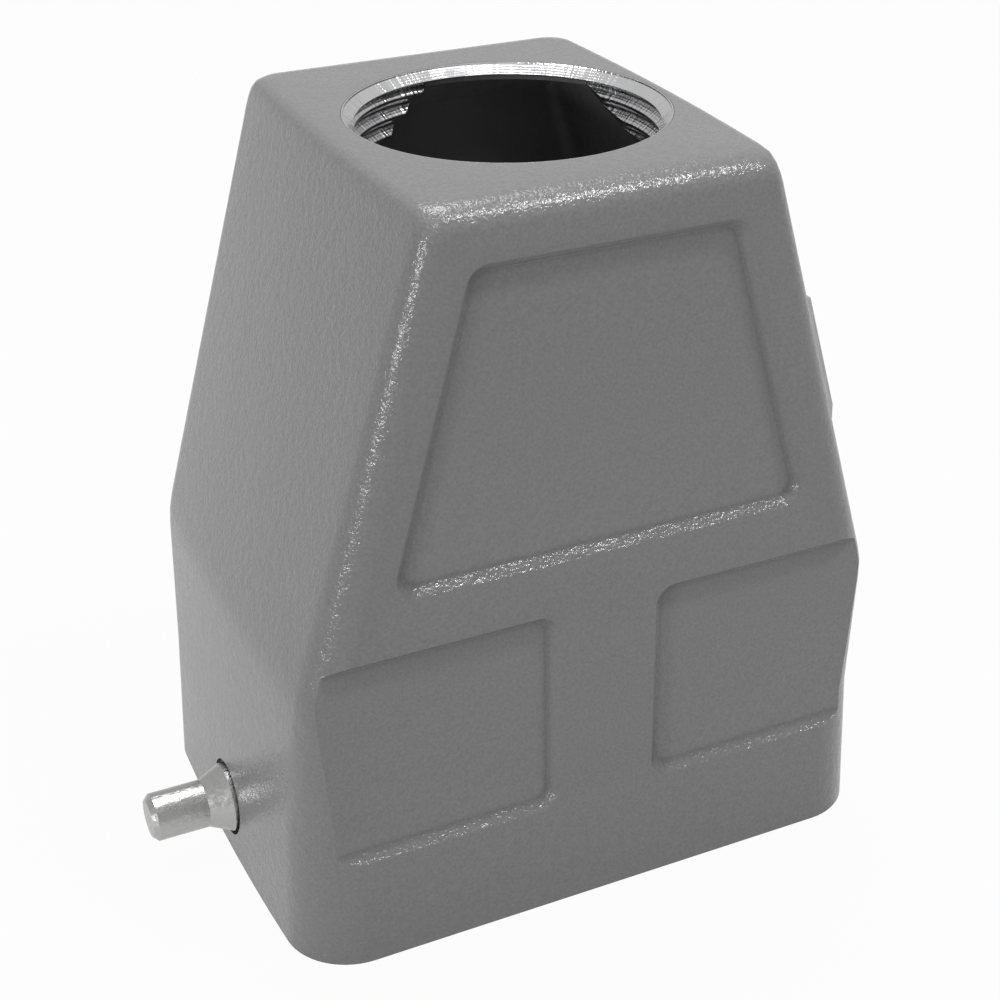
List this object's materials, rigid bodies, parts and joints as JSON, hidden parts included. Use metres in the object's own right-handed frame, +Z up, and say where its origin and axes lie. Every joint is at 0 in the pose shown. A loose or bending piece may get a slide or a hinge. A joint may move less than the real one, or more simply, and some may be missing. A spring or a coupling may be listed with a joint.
{
  "type": "rectangular connector hood",
  "caption": "Cast hood of a heavy duty rectangular connector, open below, with a threaded cable entry on top and a steel locking peg in each end.",
  "frame": {"origin": "middle of the open rim, at the bottom of the hood", "axes": "+Z up through the cable entry, +X along the hood from peg to peg, +Y towards the back long side"},
  "size_m": [0.076, 0.0442, 0.0699],
  "materials": {
    "powder_coat": "fine textured powder coat",
    "bare_aluminium": "turned, bright",
    "peg_steel": "turned and plated"
  },
  "bodies": {
    "root": {"hood": "powder_coat", "locking_peg_left": "peg_steel", "locking_peg_right": "peg_steel"}
  },
  "joints": []
}
